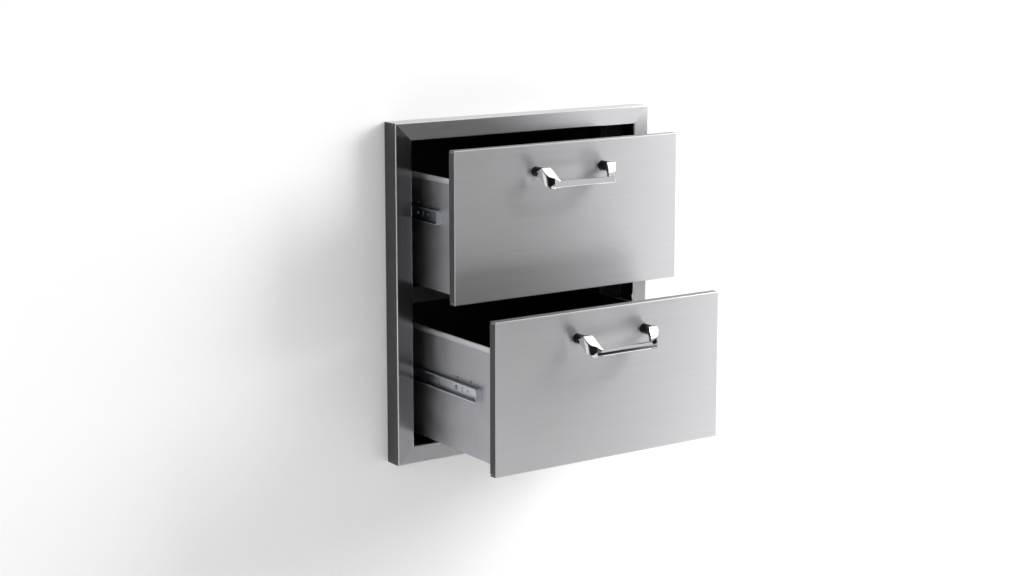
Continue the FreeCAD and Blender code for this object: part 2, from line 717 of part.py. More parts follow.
def front_liner(name):
    """Liner that closes the back of a drawer front: a shallow pan inside the skin."""
    body = new_body(f"{name}_front_liner")
    half = "(front_width / 2 - front_sheet - liner_gap)"
    low = "front_sheet + liner_gap"
    high = "front_height - front_sheet - liner_gap"
    add(body, "Y", "-liner_depth", "liner_depth", box(f"-{half}", half, low, high))
    inside = f"({half} - front_sheet)"
    hollow = box(f"-{inside}", inside, f"{low} + front_sheet", f"{high} - front_sheet")
    cut(body, "Y", "-liner_depth", "liner_depth - front_sheet", hollow)
    holes = [(f"{sign} * post_across", "post_level", "handle_screw_hole") for sign in (-1, 1)]
    for sign in (-1, 1):
        for up in ("box_screw_low", "box_screw_high"):
            holes.append((f"{sign} * box_screw_across", up, "box_screw_hole"))
    cut(body, "Y", "-front_sheet", "front_sheet", *holes)
    set_drawer(body, name)


def box_side(name, side, sign):
    """Side of a drawer box: hem turned out along the top, flanges in at the bottom, front and back."""
    body = new_body(f"{name}_box_{side}_side")
    outer = "box_half_width + hem_slot + box_sheet"
    foot = "box_half_width - box_flange"
    corners = (
        (foot, "box_base"),
        ("box_half_width", "box_base"),
        ("box_half_width", "box_top - box_sheet"),
        ("box_half_width + hem_slot", "box_top - box_sheet"),
        ("box_half_width + hem_slot", "box_top - hem_height"),
        (outer, "box_top - hem_height"),
        (outer, "box_top"),
        ("box_inside", "box_top"),
        ("box_inside", "box_base + box_sheet"),
        (foot, "box_base + box_sheet"),
    )
    add(body, "Y", "0", "box_depth", [(f"{sign} * ({across})", up) for across, up in corners])
    ends = [f"{sign} * ({across})" for across in (foot, "box_half_width - box_sheet / 2")]
    flange = box(*sorted(ends, key=value), "box_base + 2 * box_sheet", "box_top - 2 * box_sheet")
    add(body, "Y", "0", "box_sheet", flange)
    add(body, "Y", "box_depth - box_sheet", "box_sheet", flange)
    for along, hole in (("0", "box_screw_hole"), ("box_depth - box_sheet", "rivet_hole")):
        levels = ("box_screw_low", "box_screw_high")
        cut(body, "Y", along, "box_sheet", *[(f"{sign} * box_screw_across", up, hole) for up in levels])
    slide = f"{name}_slide_height"
    openings = []
    for step in range(3):
        along = f"slide_setback + drawer_screw_first + {step} * drawer_screw_pitch"
        openings.append((along, slide, "slide_screw_hole"))
    for step in range(2):
        along = f"side_hole_first + {step} * side_hole_pitch"
        openings.append((along, f"{slide} + drawer_member_height / 2 + side_hole_rise", "side_hole_radius"))
    cut(body, "X", outward(sign, "box_inside", "box_sheet"), "box_sheet", *openings)
    set_drawer(body, name)


def box_bottom(name):
    """Flat bottom of a drawer box, on the flanges of its sides."""
    body = new_body(f"{name}_box_bottom")
    low = "(box_base + box_sheet)"
    floor = box("box_sheet", "box_depth - 2 * box_sheet", low, f"{low} + box_sheet")
    add(body, "X", "box_fit - box_inside", "2 * (box_inside - box_fit)", floor)
    set_drawer(body, name)


def box_back(name):
    """Back of a drawer box, on the flanges of its sides, with its top turned in."""
    body = new_body(f"{name}_box_back")
    low = "(box_base + box_sheet)"
    high = "(box_top - 2 * box_sheet)"
    back = "(box_depth - box_sheet)"
    section = (
        (back, low),
        (back, high),
        (f"{back} - box_flange", high),
        (f"{back} - box_flange", f"{high} - box_sheet"),
        (f"{back} - box_sheet", f"{high} - box_sheet"),
        (f"{back} - box_sheet", low),
    )
    add(body, "X", "box_fit - box_inside", "2 * (box_inside - box_fit)", section)
    holes = []
    for sign in (-1, 1):
        for up in ("box_screw_low", "box_screw_high"):
            holes.append((f"{sign} * box_screw_across", up, "rivet_hole"))
    cut(body, "Y", f"{back} - box_sheet", "box_sheet", *holes)
    set_drawer(body, name)


def box_fasteners(name):
    """Screws that hold the box to its front, and rivets that hold its back."""
    screws = []
    rivets = []
    radius = value("box_screw_radius")
    head = (value("box_screw_head_radius"), value("box_screw_head"))
    for sign in (-1, 1):
        for up in ("box_screw_low", "box_screw_high"):
            across = sign * value("box_screw_across")
            seat = FreeCAD.Vector(across, value("box_sheet"), value(up))
            screws.append(headed(radius, value("box_screw_length"), *head, seat, -AXES["Y"]))
            seat = FreeCAD.Vector(across, value("box_depth"), value(up))
            rivets.append(rivet(2 * value("box_sheet"), seat, -AXES["Y"]))
    at = (f"shut - {name}_open", f"{name}_base")
    group(f"{name}_box_screws", screws, *at)
    group(f"{name}_box_rivets", rivets, *at)


def drawer_screws(name):
    """Screws that hold the drawer members to the box sides."""
    screws = []
    for _, sign in SIDES:
        for step in range(3):
            along = f"slide_setback + drawer_screw_first + {step} * drawer_screw_pitch"
            across = sign * value("box_half_width + slide_web")
            seat = FreeCAD.Vector(across, value(along), value(f"{name}_slide_height"))
            screws.append(slide_screw(seat, AXES["X"] * -sign, "drawer_screw_head", "drawer_screw_length"))
    group(f"{name}_slide_screws", screws, f"shut - {name}_open", f"{name}_base")


def arm_stations():
    """Give the sections of a handle arm: its distance from the front, then its corners from the inner top."""
    inner = "(post_across - handle_arm_width / 2)"
    outer = "(post_across + handle_arm_width / 2)"
    tip = "(bar_half - handle_tip_width)"
    shoulder = "((post_across + handle_arm_width / 2 + bar_half) / 2)"
    root = (
        (inner, "handle_top"),
        (f"{outer} - handle_chamfer", "handle_top"),
        (outer, "post_level"),
        (f"{outer} - 2 * handle_chamfer", "handle_top - handle_arm_depth"),
        (f"{inner} + handle_chamfer", "handle_top - handle_arm_depth"),
    )
    knee = (
        (f"{inner} - handle_chamfer", "handle_top"),
        (f"{outer} - handle_chamfer", "handle_top"),
        (outer, "handle_top - handle_cheek"),
        (f"{outer} - handle_lean", "handle_top - handle_heel"),
        (f"{inner} - handle_lean + handle_chamfer", "handle_top - handle_throat"),
    )
    middle = (
        (f"({inner} + {tip}) / 2", "(handle_top + bar_top) / 2"),
        (f"{shoulder} + handle_lean / 3", "(handle_top + bar_top) / 2"),
        (f"{shoulder} - handle_lean / 3", "bar_base + handle_ridge"),
        (f"{shoulder} - handle_lean / 3", "bar_base + handle_chamfer"),
        (f"{tip} + 2 * handle_chamfer", "bar_top"),
    )
    end = (
        (tip, "bar_top - handle_chamfer"),
        ("bar_half - handle_chamfer", "bar_top"),
        ("bar_half", "(bar_top + bar_base) / 2"),
        ("bar_half", "bar_base"),
        (tip, "bar_base"),
    )
    return (
        ("handle_root", root),
        ("handle_knee", knee),
        ("handle_middle", middle),
        ("handle_reach", end),
    )


def handle(name):
    """Cast handle: a bar, two arms that lean down to it and two posts on the drawer front."""
    body = new_body(f"{name}_handle")
    bar = box("-handle_reach", "handle_bar_depth - handle_reach", "bar_base", "bar_top")
    shifted = [(f"{along} - front_thickness", up) for along, up in bar]
    add(body, "X", "-bar_half", "2 * bar_half", shifted)
    soften(
        body,
        "handle_bar_radius",
        {"y": "-front_thickness - handle_reach", "z": "bar_base"},
        {"y": "-front_thickness - handle_reach + handle_bar_depth", "z": "bar_base"},
        {"y": "-front_thickness - handle_reach + handle_bar_depth", "z": "bar_top"},
    )
    for sign in (-1, 1):
        sections = []
        for distance, corners in arm_stations():
            outline = [(f"{sign} * ({across})", up) for across, up in corners]
            sections.append(draw(body, "Y", f"-front_thickness - ({distance})", [tuple(outline)]))
        loft = body.newObject("PartDesign::AdditiveLoft", "Loft")
        loft.Profile = sections[0]
        loft.Sections = sections[1:]
        loft.Ruled = True
    posts = [(f"{sign} * post_across", "post_level", "handle_post_radius") for sign in (-1, 1)]
    add(body, "Y", "-front_thickness - handle_root - handle_chamfer", "handle_root + handle_chamfer", *posts)
    holes = [(f"{sign} * post_across", "post_level", "handle_screw_hole") for sign in (-1, 1)]
    cut(body, "Y", "-handle_screw_end - 1", "handle_screw_grip + 1", *holes)
    set_drawer(body, name)


def handle_screws(name):
    """Screws that hold the handle, through the liner and the skin."""
    screws = []
    for sign in (-1, 1):
        seat = FreeCAD.Vector(sign * value("post_across"), 0, value("post_level"))
        screws.append(
            headed(
                value("handle_screw_radius"),
                value("handle_screw_end"),
                value("handle_screw_head_radius"),
                value("handle_screw_head"),
                seat,
                -AXES["Y"],
            )
        )
    group(f"{name}_handle_screws", screws, f"shut - {name}_open", f"{name}_base")


def drawer(name):
    """One drawer with its moving slide members."""
    front_skin(name)
    front_liner(name)
    for side, sign in SIDES:
        box_side(name, side, sign)
        drawer_member(name, side, sign)
    box_bottom(name)
    box_back(name)
    box_fasteners(name)
    drawer_screws(name)
    handle(name)
    handle_screws(name)


def chassis():
    """Fixed box behind the frame, with the uprights and the fixed members of the slides."""
    for side, sign in SIDES:
        chassis_side(side, sign)
        for end in ("front", "rear"):
            slide_post(side, sign, end)
        for name in ("upper", "lower"):
            cabinet_member(name, side, sign)
    chassis_cap("chassis_top", 0)
    chassis_cap("chassis_bottom", FLIP)
    chassis_back()
    chassis_rivets()
    cabinet_screws()


def check(piece):
    """Stop if a sub-part or one of its features failed."""
    for feature in [piece] + list(getattr(piece, "Group", [])):
        if "Invalid" in feature.State or "Error" in feature.State:
            raise RuntimeError(f"{piece.Label}: {feature.Name} failed")
        if feature.TypeId == "PartDesign::Pocket":
            if feature.Shape.Volume > feature.BaseFeature.Shape.Volume - 1e-6:
                raise RuntimeError(f"{piece.Label}: {feature.Name} cuts nothing")
    if piece.Shape.isNull() or not piece.Shape.isValid() or not piece.Shape.Solids:
        raise RuntimeError(f"{piece.Label} has no valid shape")


sheet = doc.addObject("Spreadsheet::Sheet", "Sizes")
for row, (name, number, meaning) in enumerate(SIZES, 1):
    sheet.set(f"A{row}", name)
    sheet.set(f"B{row}", str(number))
    sheet.set(f"C{row}", meaning)
    sheet.setAlias(f"B{row}", name)
doc.recompute()

layout = doc.addObject("App::VarSet", "Layout")
for name, expression in LAYOUT:
    layout.addProperty("App::PropertyFloat", name, "Layout", expression)
    layout.setExpression(name, bound(expression))
    layout.recompute()

face_frame()
middle_rail()
chassis()
for drawer_name in ("upper", "lower"):
    drawer(drawer_name)
    for side, sign in SIDES:
        ball_retainer(drawer_name, side, sign)
        slide_balls(drawer_name, side, sign)
doc.recompute()

os.makedirs("parts", exist_ok=True)
for piece in parts:
    check(piece)
for piece in parts:
    piece.Shape.exportStep(f"parts/{piece.Label}.step")
    print(f"{piece.Label}: {len(piece.Shape.Solids)} solid(s), {piece.Shape.Volume:.0f} mm3")
print(f"{len(parts)} sub-parts")
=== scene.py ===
"""Looks of the outdoor kitchen drawer unit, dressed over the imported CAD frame.

Lengths are in metres in the frame's own axes: X to the right, Y into the wall, Z up. Only the
handle and the camera's lens are given in millimetres.
"""

import logging
import math
from dataclasses import dataclass
from enum import Enum, IntEnum, StrEnum

import bmesh
import bpy
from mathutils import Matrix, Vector

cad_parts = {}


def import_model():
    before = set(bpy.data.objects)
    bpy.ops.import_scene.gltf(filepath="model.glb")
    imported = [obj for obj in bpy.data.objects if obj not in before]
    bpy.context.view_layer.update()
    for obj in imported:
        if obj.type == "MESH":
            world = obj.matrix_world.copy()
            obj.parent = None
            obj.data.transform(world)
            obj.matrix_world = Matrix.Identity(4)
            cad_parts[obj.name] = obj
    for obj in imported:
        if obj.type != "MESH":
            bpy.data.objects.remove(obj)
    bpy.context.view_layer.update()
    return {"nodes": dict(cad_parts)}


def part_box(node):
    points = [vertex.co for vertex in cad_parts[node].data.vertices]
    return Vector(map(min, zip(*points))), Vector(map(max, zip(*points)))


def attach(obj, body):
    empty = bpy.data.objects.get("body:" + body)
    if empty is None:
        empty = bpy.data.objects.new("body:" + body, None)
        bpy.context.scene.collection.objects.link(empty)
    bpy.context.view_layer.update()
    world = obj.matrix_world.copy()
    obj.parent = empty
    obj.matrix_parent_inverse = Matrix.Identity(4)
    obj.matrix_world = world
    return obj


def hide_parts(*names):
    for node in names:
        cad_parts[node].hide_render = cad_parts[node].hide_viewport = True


LOG = logging.getLogger("drawer_unit")
MM = 0.001
WHITE = "#ffffff"
# Noise values at which a metal shows its plain dark and its plain light tone
DARK_AT, LIGHT_AT = 0.35, 0.65
# Noise values at which it is smoothest and roughest
SMOOTH_AT, ROUGH_AT = 0.3, 0.7

Tree = bpy.types.NodeTree
Socket = bpy.types.NodeSocket


class Grain(Enum):
    """Axis that the brushing of a sheet runs along."""

    ACROSS = (1.0, 0.0, 0.0)
    UPRIGHT = (0.0, 0.0, 1.0)


class Level(StrEnum):
    """Drawer, as the frame's names have it."""

    UPPER = "upper"
    LOWER = "lower"


class Side(IntEnum):
    """Side of a drawer, by the sign of X there."""

    LEFT = -1
    RIGHT = 1


class Facet(IntEnum):
    """Facets of a handle's arm, in the order of the corners that they follow."""

    TOP = 0
    SHOULDER = 1
    OUTER = 2
    UNDER = 3
    INNER = 4


def srgb(code: str) -> tuple[float, float, float, float]:
    """Turn an sRGB hex value into a linear colour.

    Args:
        code: six hex digits after a hash sign.

    Returns:
        Linear red, green, blue and an alpha of 1.
    """
    parts = [int(code[place:place + 2], 16) / 255 for place in (1, 3, 5)]
    linear = [part / 12.92 if part <= 0.04045 else ((part + 0.055) / 1.055) ** 2.4 for part in parts]
    return (*linear, 1.0)


def add_node(tree: Tree, kind: str, inputs: dict | None = None, **settings) -> bpy.types.Node:
    """Add a shader node with its settings and links.

    Args:
        tree: the node tree that it goes into.
        kind: the node's type name.
        inputs: a value or an output socket for each input, by name or number.
        **settings: attributes of the node itself.

    Returns:
        The new node.
    """
    node = tree.nodes.new(kind)
    for name, setting in settings.items():
        setattr(node, name, setting)
    for name, value in (inputs or {}).items():
        if isinstance(value, Socket):
            tree.links.new(value, node.inputs[name])
        else:
            node.inputs[name].default_value = value
    return node


def new_material(name: str) -> tuple[bpy.types.Material, Tree]:
    """Start a material with an empty node tree.

    Args:
        name: what the finish is called.

    Returns:
        The material and its node tree.
    """
    material = bpy.data.materials.new(name)
    material.use_nodes = True
    material.node_tree.nodes.clear()
    return material, material.node_tree


def blend_tones(tree: Tree, amount: Socket, dark: str, light: str) -> Socket:
    """Blend two tones of a metal by a noise value.

    Args:
        tree: the material's node tree.
        amount: the noise value.
        dark: sRGB hex value where it is low.
        light: sRGB hex value where it is high.

    Returns:
        The blended colour.
    """
    ramp = add_node(tree, "ShaderNodeValToRGB", {"Fac": amount})
    for element, position, code in zip(ramp.color_ramp.elements, (DARK_AT, LIGHT_AT), (dark, light)):
        element.position = position
        element.color = srgb(code)
    return ramp.outputs["Color"]


@dataclass(frozen=True)
class BrushedStainless:
    """Stainless sheet, belt-brushed: long fine scratches that smear a reflection across the grain."""

    name: str
    grain: Grain
    light: str = "#c5c5c7"
    dark: str = "#c0c0c2"
    # The sides that face left or right take this dark tone, painted shade for the dark that they mirror
    folded: str = "#545456"
    # Tone of a flange that faces up; on the fronts it is set darker, as painted shade
    flange: str = "#c5c5c7"
    # Tone of the bends, lighter than the shaded sides and flange: a painted highlight along each fold
    painted_bend_highlight: str = "#c4c4c6"
    roughness: float = 0.34
    roughness_spread: float = 0.01
    anisotropy: float = 0.9
    # As a part of a full turn
    anisotropy_turn: float = 0.25
    streak_length: float = 160 * MM
    # Real scratches are about 0.1 mm apart; these are drawn wider so that they show at all
    streak_width: float = 1.1 * MM
    streak_detail: float = 3.0
    hairline_width: float = 0.35 * MM
    hairline_depth: float = 0.006 * MM
    hairline_detail: float = 1.0
    hairline_strength: float = 0.25
    noise_roughness: float = 0.6
    # The normal's part along X above which a face is a side, and along Z above which it is a flange
    aside_from: float = 0.9
    # In a bend the normal's part along Y is below the first, and its parts along X and Z below the other
    bend_inward_to: float = 0.97
    bend_aside_to: float = 0.95

    def folds(self, tree: Tree) -> tuple[Socket, Socket, Socket]:
        """Tell the folded sides of a sheet and the bends round its face from the face itself.

        Args:
            tree: the material's node tree.

        Returns:
            One on a side that faces left or right, one on a flange that faces up and one in a bend,
            else zero.
        """
        normal = add_node(tree, "ShaderNodeNewGeometry").outputs["Normal"]
        parts = add_node(tree, "ShaderNodeSeparateXYZ", {0: normal}).outputs
        across, inward, up = (
            add_node(tree, "ShaderNodeMath", {0: parts[axis]}, operation="ABSOLUTE").outputs[0]
            for axis in ("X", "Y", "Z")
        )
        most = add_node(tree, "ShaderNodeMath", {0: across, 1: up}, operation="MAXIMUM").outputs[0]
        side, top, turned, short = (
            add_node(tree, "ShaderNodeMath", {0: part, 1: limit}, operation=test).outputs[0]
            for part, test, limit in (
                (across, "GREATER_THAN", self.aside_from),
                (parts["Z"], "GREATER_THAN", self.aside_from),
                (inward, "LESS_THAN", self.bend_inward_to),
                (most, "LESS_THAN", self.bend_aside_to),
            )
        )
        bend = add_node(tree, "ShaderNodeMath", {0: turned, 1: short}, operation="MULTIPLY").outputs[0]
        return side, top, bend

    def streaks(self, tree: Tree, fold: Socket, width: float, detail: float) -> Socket:
        """Add noise drawn out along the grain, and along the height of a folded side.

        Args:
            tree: the material's node tree.
            fold: one where the sheet is folded back.
            width: how wide a streak is, in metres.
            detail: how much finer structure it has.

        Returns:
            The noise value.
        """
        place = add_node(tree, "ShaderNodeTexCoord").outputs["Object"]
        along, across = 1 / self.streak_length, 1 / width
        face_scale = [along if part else across for part in self.grain.value]
        side_scale = (across, across, along)
        on_face, on_side = (
            add_node(tree, "ShaderNodeVectorMath", {0: place, 1: scale}, operation="MULTIPLY").outputs[0]
            for scale in (face_scale, side_scale)
        )
        # Inputs 4 and 5 of this node take vectors, and 6 and 7 take colours
        chosen = add_node(tree, "ShaderNodeMix", {0: fold, 4: on_face, 5: on_side}, data_type="VECTOR")
        noise = add_node(
            tree,
            "ShaderNodeTexNoise",
            {"Vector": chosen.outputs[1], "Scale": 1.0, "Detail": detail, "Roughness": self.noise_roughness},
        )
        return noise.outputs["Fac"]

    def build(self) -> bpy.types.Material:
        """Make the material.

        Returns:
            The material.
        """
        material, tree = new_material(self.name)
        fold, top, bend = self.folds(tree)
        streak = self.streaks(tree, fold, self.streak_width, self.streak_detail)
        hairline = self.streaks(tree, fold, self.hairline_width, self.hairline_detail)
        tone = blend_tones(tree, streak, self.dark, self.light)
        # Painted shade on the sides and on the flange that faces up, and a painted highlight in the bends
        for where, code in ((top, self.flange), (fold, self.folded), (bend, self.painted_bend_highlight)):
            mixed = add_node(tree, "ShaderNodeMix", {0: where, 6: tone, 7: srgb(code)}, data_type="RGBA")
            tone = mixed.outputs[2]
        rough = add_node(
            tree,
            "ShaderNodeMapRange",
            {
                "Value": streak,
                "From Min": SMOOTH_AT,
                "From Max": ROUGH_AT,
                "To Min": self.roughness - self.roughness_spread,
                "To Max": self.roughness + self.roughness_spread,
            },
        )
        bump = add_node(
            tree,
            "ShaderNodeBump",
            {"Height": hairline, "Strength": self.hairline_strength, "Distance": self.hairline_depth},
        )
        tangent = add_node(tree, "ShaderNodeCombineXYZ", dict(zip(("X", "Y", "Z"), self.grain.value)))
        shader = add_node(
            tree,
            "ShaderNodeBsdfPrincipled",
            {
                "Base Color": tone,
                "Metallic": 1.0,
                "Roughness": rough.outputs[0],
                "Anisotropic": self.anisotropy,
                "Anisotropic Rotation": self.anisotropy_turn,
                "Normal": bump.outputs[0],
                "Tangent": tangent.outputs[0],
            },
        )
        add_node(tree, "ShaderNodeOutputMaterial", {"Surface": shader.outputs[0]})
        return material


@dataclass(frozen=True)
class PlainMetal:
    """Metal with an even finish: soft clouds in its tone and a fine tooth in its surface."""

    name: str
    light: str
    dark: str
    roughness: float
    # How much the roughness varies, as a part of itself
    roughness_spread: float = 0.1
    cloud: float = 30 * MM
    cloud_detail: float = 4.0
    # The tooth of real sheet and plate is finer; it is drawn this coarse so that it shows
    tooth: float = 0.6 * MM
    tooth_detail: float = 2.0
    tooth_height: float = 0.01 * MM
    tooth_strength: float = 0.3
    # Dark tone painted on the faces turned to the middle of the unit and on the cut edges, as painted shade
    inner: str = ""
    # Whether the faces turned to the front are left out of that painted shade
    light_front: bool = False
    # Place times normal along X above which a face is turned away from the middle of the unit
    outer_from: float = 50 * MM
    # The normal's part along Y below which a face is turned to the front
    front_to: float = -0.5

    def with_painted_shade(self, tree: Tree, tone: Socket) -> Socket:
        """Paint the faces turned to the middle of the unit, and the cut edges, with a dark tone of painted
        shade.

        Args:
            tree: the material's node tree.
            tone: the tone of the other faces.

        Returns:
            The tone of every face.
        """
        geometry = add_node(tree, "ShaderNodeNewGeometry")
        normal, place = geometry.outputs["Normal"], geometry.outputs["Position"]
        product = add_node(tree, "ShaderNodeVectorMath", {0: normal, 1: place}, operation="MULTIPLY")
        across = add_node(tree, "ShaderNodeSeparateXYZ", {0: product.outputs[0]}).outputs["X"]
        chosen = add_node(tree, "ShaderNodeMath", {0: across, 1: self.outer_from}, operation="LESS_THAN")
        if self.light_front:
            along = add_node(tree, "ShaderNodeSeparateXYZ", {0: normal}).outputs["Y"]
            behind = add_node(tree, "ShaderNodeMath", {0: along, 1: self.front_to}, operation="GREATER_THAN")
            both = {0: chosen.outputs[0], 1: behind.outputs[0]}
            chosen = add_node(tree, "ShaderNodeMath", both, operation="MULTIPLY")
        mixed = add_node(
            tree, "ShaderNodeMix", {0: chosen.outputs[0], 6: tone, 7: srgb(self.inner)}, data_type="RGBA"
        )
        return mixed.outputs[2]

    def build(self) -> bpy.types.Material:
        """Make the material.

        Returns:
            The material.
        """
        material, tree = new_material(self.name)
        place = add_node(tree, "ShaderNodeTexCoord").outputs["Object"]
        cloud, tooth = (
            add_node(tree, "ShaderNodeTexNoise", {"Vector": place, "Scale": 1 / width, "Detail": detail})
            for width, detail in ((self.cloud, self.cloud_detail), (self.tooth, self.tooth_detail))
        )
        tone = blend_tones(tree, cloud.outputs["Fac"], self.dark, self.light)
        # Painted shade on the faces turned to the middle and on the cut edges
        if self.inner:
            tone = self.with_painted_shade(tree, tone)
        rough = add_node(
            tree,
            "ShaderNodeMapRange",
            {
                "Value": cloud.outputs["Fac"],
                "From Min": SMOOTH_AT,
                "From Max": ROUGH_AT,
                "To Min": self.roughness * (1 - self.roughness_spread),
                "To Max": self.roughness * (1 + self.roughness_spread),
            },
        )
        bump = add_node(
            tree,
            "ShaderNodeBump",
            {"Height": tooth.outputs["Fac"], "Strength": self.tooth_strength, "Distance": self.tooth_height},
        )
        shader = add_node(
            tree,
            "ShaderNodeBsdfPrincipled",
            {
                "Base Color": tone,
                "Metallic": 1.0,
                "Roughness": rough.outputs[0],
                "Normal": bump.outputs[0],
            },
        )
        add_node(tree, "ShaderNodeOutputMaterial", {"Surface": shader.outputs[0]})
        return material


class Finishes:
    """Every finish of the unit, made once."""

    def __init__(self) -> None:
        """Make the finishes."""
        # Brushed across, a front shows a soft sheen and fine level lines, with painted shade on its upper
        # flange
        self.front_sheet = BrushedStainless(
            "brushed_stainless_front", Grain.ACROSS, flange="#707072"
        ).build()
        # Each rail was brushed along itself before they were joined, so that its lines meet the next
        # rail's at the mitre. Their tones are painted light and shade for how the light falls on the frame:
        # lighter on the top and right rails, darker on the left and bottom ones
        self.rail_top_painted_light = BrushedStainless(
            "brushed_stainless_rail_top", Grain.ACROSS, light="#d2d2d4", dark="#cdcdcf", roughness=0.2
        ).build()
        self.rail_right_painted_light = BrushedStainless(
            "brushed_stainless_rail_right", Grain.UPRIGHT, light="#e0e0e2", dark="#dbdbdd", roughness=0.2
        ).build()
        self.rail_left_painted_shade = BrushedStainless(
            "brushed_stainless_rail_left", Grain.UPRIGHT, light="#7e7e80", dark="#78787a", roughness=0.2
        ).build()
        self.rail_foot_painted_shade = BrushedStainless(
            "brushed_stainless_rail_foot", Grain.ACROSS, light="#979799", dark="#929294", roughness=0.2
        ).build()
        # Sheet as it left the rolling mill is an even dull grey with faint clouds
        self.mill_sheet = PlainMetal("mill_finish_stainless", "#a6a6a8", "#9c9c9e", 0.42).build()
        # The sheet inside a drawer, the uprights and the middle rail take a dark tone, painted shade for the
        # dark inside of the unit, which in the photograph shows nearly black
        self.inner_sheet_painted_shade = PlainMetal("inner_stainless_painted_shade", "#5a5a5a", "#545454", 0.5).build()
        # The matte sheet of a box side is pale and even outside; within and in its holes it has a dark tone,
        # painted shade for the inside of the drawer
        self.box_sheet = PlainMetal(
            "matte_stainless_sheet", "#c0bfc4", "#bab9bf", 0.42, inner="#5a5a5a"
        ).build()
        # A rolled hem turns through every angle, so that it shows as a soft light line; its tone, lighter
        # than the box side's, is a painted highlight
        self.rolled_hem = PlainMetal("rolled_stainless_hem", "#e2e2e4", "#dcdcde", 0.5).build()
        # Zinc plate is bright and bluish; the rims of a slide member round its web, and its faces turned to
        # the middle, take a dark tone of painted shade
        self.zinc = PlainMetal(
            "bright_zinc_plate", "#dce2e8", "#d6dce2", 0.3, cloud=12 * MM, inner="#34383c", light_front=True
        ).build()
        # Polished and plated, a handle mirrors what is round it, nearly white and sharp
        self.chrome = PlainMetal(
            "polished_chrome_plate", "#e4e4e6", "#e1e1e3", 0.05, cloud=40 * MM, tooth_height=0.0
        ).build()
        # Its facets that look away from the lamps, and its posts, are painted nearly black: painted shade
        # for the dark that they mirror
        self.chrome_painted_shade = PlainMetal(
            "polished_chrome_plate_shaded_side", "#2c2c2e", "#28282a", 0.05, cloud=40 * MM, tooth_height=0.0
        ).build()
        # The heads of screws and rivets are plain grey with a small soft highlight
        self.fastener = PlainMetal(
            "plain_stainless_fastener", "#a8a8aa", "#9c9c9e", 0.3, cloud=3 * MM
        ).build()
        # Ground balls are small bright mirrors
        self.ball = PlainMetal("ground_ball_steel", "#cfd0d2", "#c8c9cb", 0.1, cloud=5 * MM).build()


def dress(node: bpy.types.Object, material: bpy.types.Material) -> None:
    """Give a CAD node its finish.

    Args:
        node: the node.
        material: its finish.
    """
    if not node.material_slots:
        node.data.materials.append(material)
    for slot in node.material_slots:
        slot.material = material
    LOG.info("%s: %s", node.name, material.name)


@dataclass
class FaceFrame:
    """Raised face frame: four mitred rails, each brushed along its own length."""

    finishes: Finishes
    nodes: dict[str, bpy.types.Object]

    def build(self) -> None:
        """Dress the rails."""
        dress(self.nodes["frame_top_rail"], self.finishes.rail_top_painted_light)
        dress(self.nodes["frame_bottom_rail"], self.finishes.rail_foot_painted_shade)
        dress(self.nodes["frame_left_rail"], self.finishes.rail_left_painted_shade)
        dress(self.nodes["frame_right_rail"], self.finishes.rail_right_painted_light)


@dataclass
class Chassis:
    """Fixed box behind the frame, with its uprights, its middle rail and its cabinet members."""

    finishes: Finishes
    nodes: dict[str, bpy.types.Object]

    def build(self) -> None:
        """Dress the chassis."""
        for name, node in self.nodes.items():
            if name in ("chassis_rivets", "cabinet_member_screws"):
                dress(node, self.finishes.fastener)
            elif name.startswith("chassis"):
                dress(node, self.finishes.mill_sheet)
            elif name.endswith("post") or name == "middle_rail":
                dress(node, self.finishes.inner_sheet_painted_shade)
            elif name.endswith("cabinet_member"):
                dress(node, self.finishes.zinc)


def smooth_between(points: list[Vector], steps: int) -> list[Vector]:
    """Run a smooth line through points.

    Args:
        points: the points that it goes through.
        steps: how many pieces each stretch is cut into.

    Returns:
        Points along the line.
    """
    padded = [2 * points[0] - points[1], *points, 2 * points[-1] - points[-2]]
    line = []
    for before, start, end, after in zip(padded, padded[1:], padded[2:], padded[3:]):
        for step in range(steps):
            part = step / steps
            rise = (end - before) * 0.5
            fall = (after - start) * 0.5
            line.append(
                start * (2 * part**3 - 3 * part**2 + 1)
                + rise * (part**3 - 2 * part**2 + part)
                + end * (3 * part**2 - 2 * part**3)
                + fall * (part**3 - part**2)
            )
    line.append(points[-1])
    return line


def straight_between(points: list[Vector], steps: int) -> list[Vector]:
    """Run a line through points with straight stretches.

    Args:
        points: the points that it goes through.
        steps: how many pieces each stretch is cut into.

    Returns:
        Points along the line.
    """
    line = [
        start.lerp(end, step / steps)
        for start, end in zip(points, points[1:])
        for step in range(steps)
    ]
    line.append(points[-1])
    return line


def join_rings(
    mesh: bmesh.types.BMesh, near: list[bmesh.types.BMVert], far: list[bmesh.types.BMVert]
) -> list[bmesh.types.BMFace]:
    """Join two rings with a band of faces.

    Args:
        mesh: what it goes into.
        near: the corners of one ring.
        far: the corners of the other, in the same order.

    Returns:
        The faces, each by the number of the corner that it follows.
    """
    count = len(near)
    return [
        mesh.faces.new((near[place], near[(place + 1) % count], far[(place + 1) % count], far[place]))
        for place in range(count)
    ]


def place_mesh(
    mesh: bmesh.types.BMesh, name: str, materials: tuple[bpy.types.Material, ...]
) -> bpy.types.Object:
    """Turn a mesh into a piece of the scene.

    Args:
        mesh: its faces; it is freed.
        name: what the piece is called.
        materials: its finishes.

    Returns:
        The piece.
    """
    bmesh.ops.recalc_face_normals(mesh, faces=mesh.faces)
    data = bpy.data.meshes.new(name)
    mesh.to_mesh(data)
    mesh.free()
    for material in materials:
        data.materials.append(material)
    piece = bpy.data.objects.new(name, data)
    bpy.context.scene.collection.objects.link(piece)
    LOG.info("%s: %s", name, materials[0].name)
    return piece


